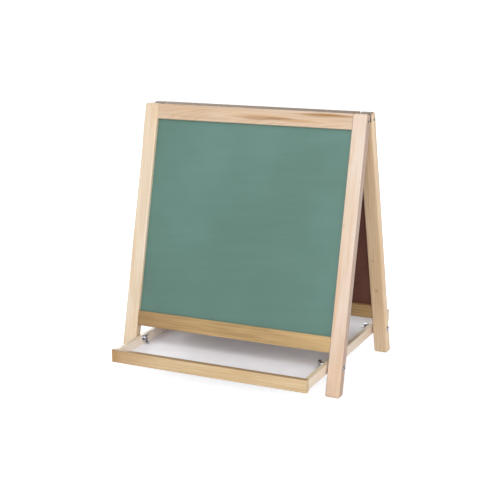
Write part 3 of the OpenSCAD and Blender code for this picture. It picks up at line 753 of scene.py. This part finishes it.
def carriage_bolt(corner, material):
    """Domed head, square neck, plain shank and thread."""
    tip, head = span_across(corner + "_bolt")
    seat = head - HEAD_HEIGHT
    thread_end = tip + THREAD_LENGTH
    bm = bmesh.new()
    add_dome(bm, seat)
    add_neck(bm, seat, side_of(corner) * end_of(corner) * LEAN)
    spun(bm, [(0, thread_end - SHANK_SUNK), (THREAD_R - RUN_OUT_STEP, thread_end - SHANK_SUNK),
              (THREAD_R, thread_end + RUN_OUT), (THREAD_R, seat + SHANK_SUNK),
              (0, seat + SHANK_SUNK)], THREAD_STEPS)
    bmesh.ops.remove_doubles(bm, verts=bm.verts, dist=FINE_WELD)
    bmesh.ops.recalc_face_normals(bm, faces=bm.faces)
    add_thread(bm, tip, thread_end)
    bmesh.ops.transform(bm, matrix=along_bolt(corner), verts=bm.verts)
    smooth_faces(bm)
    piece = make_piece(corner + "_carriage_bolt", bm, material, "front_assembly",
                       corner + "_bolt")
    piece.data.set_sharp_from_angle(angle=SMOOTH_BELOW)


def forged_wing(half):
    """One wing with rounded edges, on the side of the hub that half gives."""
    wing = bmesh.new()
    for face in (-1, 1):
        tip = (half * WING_TIP[0] * MM, face * WING_TIP_HALF, WING_TIP[1] * MM)
        bmesh.ops.create_circle(wing, segments=WING_TIP_STEPS, radius=WING_TIP_R,
                                matrix=Matrix.Translation(tip)
                                @ Matrix.Rotation(math.radians(90), 4, "X"))
        for across, up, thick in WING_ROOT:
            wing.verts.new((half * across * MM, face * thick * MM, up * MM))
    bmesh.ops.convex_hull(wing, input=wing.verts)
    bmesh.ops.delete(wing, geom=[v for v in wing.verts if not v.link_faces], context="VERTS")
    bmesh.ops.dissolve_limit(wing, angle_limit=FLAT_BELOW, verts=wing.verts,
                             edges=wing.edges)
    sharp = [e for e in wing.edges
             if len(e.link_faces) == 2 and e.calc_face_angle() > SHARP_ABOVE]
    bmesh.ops.bevel(wing, geom=sharp, offset=WING_ROUND, **EASED)
    bmesh.ops.recalc_face_normals(wing, faces=wing.faces)
    return wing


def blended(bm):
    """Remeshes joined shells into one skin, then eases it so that the joints become fillets."""
    mesh = bpy.data.meshes.new("blend")
    bm.to_mesh(mesh)
    holder = place_in_scene("blend", mesh)
    change = holder.modifiers.new("skin", "REMESH")
    change.mode = "VOXEL"
    change.voxel_size = FORGING_GRAIN
    result = bpy.data.meshes.new_from_object(
        holder.evaluated_get(bpy.context.evaluated_depsgraph_get()))
    bm.clear()
    bm.from_mesh(result)
    bpy.data.objects.remove(holder)
    bpy.data.meshes.remove(mesh)
    bpy.data.meshes.remove(result)
    for _ in range(FORGING_ROUNDS):
        bmesh.ops.smooth_vert(bm, verts=bm.verts, factor=0.5, use_axis_x=True, use_axis_y=True,
                              use_axis_z=True)


def forged_nut(corner, material):
    """Tapered hub and two wings, blended where they meet."""
    node = corner + "_wing_nut"
    seat = span_across(node)[1]
    bm = bmesh.new()
    spun(bm, [(radius * MM, height * MM) for radius, height in HUB], HUB_STEPS)
    bmesh.ops.remove_doubles(bm, verts=bm.verts, dist=FINE_WELD)
    for half in (-1, 1):
        join(bm, forged_wing(half))
    bmesh.ops.recalc_face_normals(bm, faces=bm.faces)
    blended(bm)
    move = (along_bolt(corner) @ Matrix.Translation((0, 0, seat))
            @ Matrix.Diagonal((1, 1, -1, 1))
            @ Matrix.Rotation(math.radians(NUT_TURN[corner]), 4, "Z"))
    bmesh.ops.transform(bm, matrix=move, verts=bm.verts)
    bmesh.ops.reverse_faces(bm, faces=bm.faces)
    smooth_faces(bm)
    make_piece(corner + "_forged_wing_nut", bm, material, node, node)


# Studio

FLOOR_HALF = 6
FLOOR_GREY = (0.9, 0.9, 0.9, 1)
FLOOR_GLOW = 0.6
WHITE = (1, 1, 1, 1)
SKY_LIGHT = 0.55
SKY_SEEN = 1.0

# Lamps: where each stands, the height on the easel's middle that it aims at, its size and power
LAMPS = (("key", (1.3, -2.5, 1.2), 0.22, 1.4, 29),
         ("top", (-0.2, -1.6, 2.5), 0.2, 1.6, 21),
         ("right", (2.3, -0.8, 0.7), 0.2, 1.2, 5.5),
         ("back", (-1.6, 2.4, 0.9), 0.25, 1.6, 25.5))


def seen_mask(tree):
    """1 for what the camera sees straight, mirrored or through glass, and 0 for lighting."""
    path = add(tree, "LightPath").outputs
    return math_node(tree, "MAXIMUM", path["Is Camera Ray"],
                     math_node(tree, "MAXIMUM", path["Is Glossy Ray"],
                               path["Is Transmission Ray"]))


def studio_floor():
    """A pale floor that keeps the shadow and reads as white to the camera and in the metal."""
    bm = bmesh.new()
    bmesh.ops.create_grid(bm, x_segments=1, y_segments=1, size=FLOOR_HALF)
    mesh = bpy.data.meshes.new("studio_floor")
    bm.to_mesh(mesh)
    bm.free()
    floor = place_in_scene("studio_floor", mesh)
    material, tree, shader = new_material("studio_floor")
    shader.inputs["Base Color"].default_value = FLOOR_GREY
    shader.inputs["Roughness"].default_value = 0.9
    shader.inputs["Specular IOR Level"].default_value = 0.0
    shader.inputs["Emission Color"].default_value = WHITE
    tree.links.new(times(tree, seen_mask(tree), FLOOR_GLOW), shader.inputs["Emission Strength"])
    mesh.materials.append(material)


def studio_world():
    """White as seen by the camera and in reflections, softer as a light."""
    world = bpy.data.worlds.new("studio")
    bpy.context.scene.world = world
    world.use_nodes = True
    tree = world.node_tree
    tree.nodes.clear()
    strength = step_up(tree, seen_mask(tree), 0.0, 1.0, SKY_LIGHT, SKY_SEEN)
    background = add(tree, "Background", {"Color": WHITE, "Strength": strength})
    output = add(tree, "OutputWorld")
    tree.links.new(background.outputs[0], output.inputs["Surface"])


def set_lamps():
    for name, place, aim_height, size, power in LAMPS:
        data = bpy.data.lights.new(name, "AREA")
        data.shape = "SQUARE"
        data.size = size
        data.energy = power
        lamp = place_in_scene(name, data)
        towards = Vector((0, 0, aim_height)) - Vector(place)
        lamp.matrix_world = (Matrix.Translation(Vector(place))
                             @ towards.to_track_quat("-Z", "Y").to_matrix().to_4x4())


set_camera()
dress_woods()
chalk_enamel()
marker_enamel()
pressed_board()
coated_floor()
dress_metals()
brad_filler()
studio_floor()
studio_world()
set_lamps()
bpy.context.scene.view_settings.view_transform = "Standard"
